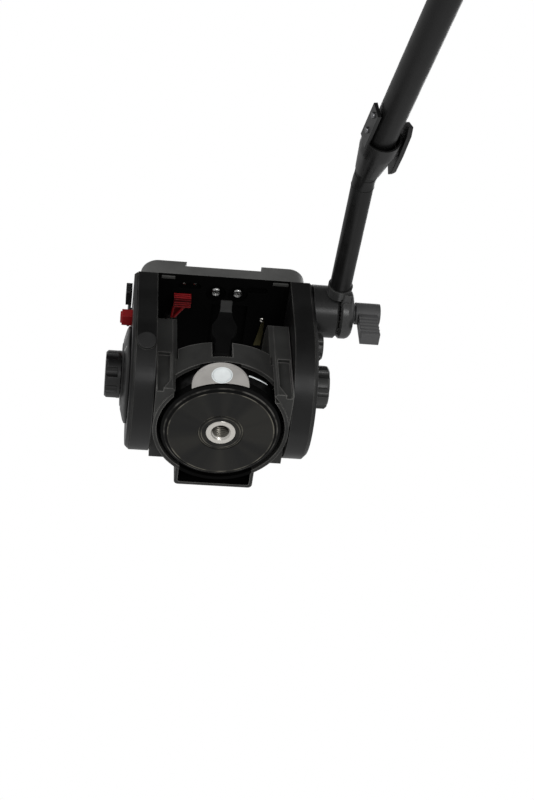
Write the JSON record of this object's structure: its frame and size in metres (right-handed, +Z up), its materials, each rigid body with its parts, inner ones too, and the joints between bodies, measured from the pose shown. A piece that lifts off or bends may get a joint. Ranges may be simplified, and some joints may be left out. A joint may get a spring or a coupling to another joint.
{
  "type": "fluid video head",
  "caption": "Flat-base fluid video head for a tripod, with a pan base, tilting platform, sliding camera plate and a bent telescopic pan bar.",
  "frame": {"origin": "mouth of the tripod thread, in the plane of the base disc's face", "axes": "+Z up along the pan axis, +Y forwards in the lens direction, +X to the operator's right"},
  "size_m": [0.1474, 0.4307, 0.1655],
  "materials": {
    "black_cast": "die cast, black satin paint",
    "black_disc": "turned face, black satin paint",
    "black_plastic": "moulded, fine grain",
    "grey_plastic": "moulded, satin, warm grey",
    "vial": "clear moulding, polished",
    "red_plastic": "moulded, satin red",
    "steel": "turned, plain",
    "alloy": "turned, plain",
    "brass": "plain",
    "bar_tube": "drawn tube, black anodised satin",
    "grip": "moulded, matt",
    "pad": "moulded, matt"
  },
  "bodies": {
    "base": {"base_disc": "black_disc", "thread_insert": "steel", "pan_spindle": "steel", "spindle_screws": "steel", "spindle_nut": "steel", "pan_drag_stator": "alloy"},
    "pan_body": {"pan_housing": "black_cast", "left_cheek": "black_cast", "right_cheek": "black_cast", "cheek_screws": "steel", "pan_bushing": "brass", "pan_drag_rotor": "alloy", "level_bracket": "grey_plastic", "level_vial": "vial", "tilt_bushings": "brass", "tilt_drag_stator": "alloy", "counterbalance_spring": "steel", "drag_cover": "black_plastic", "spring_cover": "black_plastic", "pan_lock_pin": "steel"},
    "pan_lock": {"pan_lock_lever": "black_plastic"},
    "tilt_body": {"left_arm": "black_cast", "arm_plug": "black_plastic", "right_arm": "black_cast", "left_cover": "black_plastic", "right_cover": "black_plastic", "cover_screws": "steel", "platform": "black_cast", "arm_screws": "steel", "underside_screws": "steel", "leaf_spring": "brass", "left_axle": "steel", "right_axle": "steel", "tilt_drag_rotor": "alloy", "spring_arbor": "steel", "drag_dial": "black_plastic", "rosette_boss": "black_cast", "catch_pin": "steel", "button_spring": "steel"},
    "drag_knob": {"tilt_drag_knob": "black_plastic"},
    "balance_knob": {"counterbalance_knob": "black_plastic"},
    "tilt_lock": {"tilt_lock_knob": "black_plastic"},
    "plate_lock": {"plate_lock_lever": "black_plastic"},
    "jaw": {"clamp_jaw": "alloy"},
    "button": {"safety_button": "red_plastic"},
    "catch": {"plate_catch": "red_plastic"},
    "plate": {"camera_plate": "black_cast", "plate_pad": "pad"},
    "plate_screw": {"camera_screw": "steel"},
    "bar": {"bar_head": "black_cast", "bar_rod": "bar_tube"},
    "bar_lock": {"bar_lock_knob": "black_plastic"},
    "grip_tube": {"bar_tube": "bar_tube", "bar_collar": "black_cast", "collar_screws": "steel", "bar_grip": "grip", "grip_cap": "black_plastic"},
    "tube_lock": {"collar_wing": "black_plastic"}
  },
  "joints": [
    {"name": "pan", "type": "hinge", "parent": "base", "child": "pan_body", "pos_m": [0, 0, 0], "axis": [0, 0, 1], "continuous": true},
    {"name": "pan_lock_swing", "type": "hinge", "parent": "pan_body", "child": "pan_lock", "pos_m": [-0.002, -0.028, 0.0225], "axis": [-1, 0, 0], "range_deg": [0, 25]},
    {"name": "tilt", "type": "hinge", "parent": "pan_body", "child": "tilt_body", "pos_m": [0, 0, 0.04], "axis": [1, 0, 0], "range_deg": [-70, 88]},
    {"name": "drag_knob_turn", "type": "hinge", "parent": "tilt_body", "child": "drag_knob", "pos_m": [-0.0505, 0, 0.04], "axis": [-1, 0, 0], "range_deg": [-135, 135]},
    {"name": "balance_knob_turn", "type": "hinge", "parent": "tilt_body", "child": "balance_knob", "pos_m": [0.047, 0, 0.04], "axis": [1, 0, 0], "range_deg": [-135, 135]},
    {"name": "tilt_lock_turn", "type": "hinge", "parent": "tilt_body", "child": "tilt_lock", "pos_m": [0.047, -0.0176, 0.051], "axis": [1, 0, 0], "range_deg": [0, 180]},
    {"name": "plate_lock_swing", "type": "hinge", "parent": "tilt_body", "child": "plate_lock", "pos_m": [-0.047, -0.004, 0.0842], "axis": [-1, 0, 0], "range_deg": [0, 70]},
    {"name": "jaw_slide", "type": "slide", "parent": "tilt_body", "child": "jaw", "axis": [-1, 0, 0], "range_m": [0, 0.0008]},
    {"name": "button_press", "type": "slide", "parent": "tilt_body", "child": "button", "axis": [1, 0, 0], "range_m": [0, 0.003], "stiffness_N_per_m": 300, "springref_m": -0.002},
    {"name": "catch_swing", "type": "hinge", "parent": "tilt_body", "child": "catch", "pos_m": [-0.0265, -0.009, 0.076], "axis": [0, 0, 1], "range_deg": [0, 15], "stiffness_Nm_per_rad": 0.02, "springref_deg": -17.19},
    {"name": "plate_slide", "type": "slide", "parent": "tilt_body", "child": "plate", "axis": [0, 1, 0], "range_m": [-0.015, 0.015]},
    {"name": "camera_screw_turn", "type": "hinge", "parent": "plate", "child": "plate_screw", "pos_m": [0, 0.002, 0.0861], "axis": [0, 0, 1], "continuous": true},
    {"name": "bar_swing", "type": "hinge", "parent": "tilt_body", "child": "bar", "pos_m": [0.0603, -0.024, 0.073], "axis": [1, 0, 0], "range_deg": [-90, 60]},
    {"name": "bar_lock_turn", "type": "hinge", "parent": "bar", "child": "bar_lock", "pos_m": [0.0698, -0.024, 0.073], "axis": [1, 0, 0], "continuous": true},
    {"name": "telescope", "type": "slide", "parent": "bar", "child": "grip_tube", "axis": [0.064, -0.9123, -0.4046], "range_m": [0, 0.14]},
    {"name": "tube_lock_swing", "type": "hinge", "parent": "grip_tube", "child": "tube_lock", "pos_m": [0.07031, -0.13934, 0.0533], "axis": [0.9763, -0.0268, 0.2148], "range_deg": [0, 90]}
  ]
}
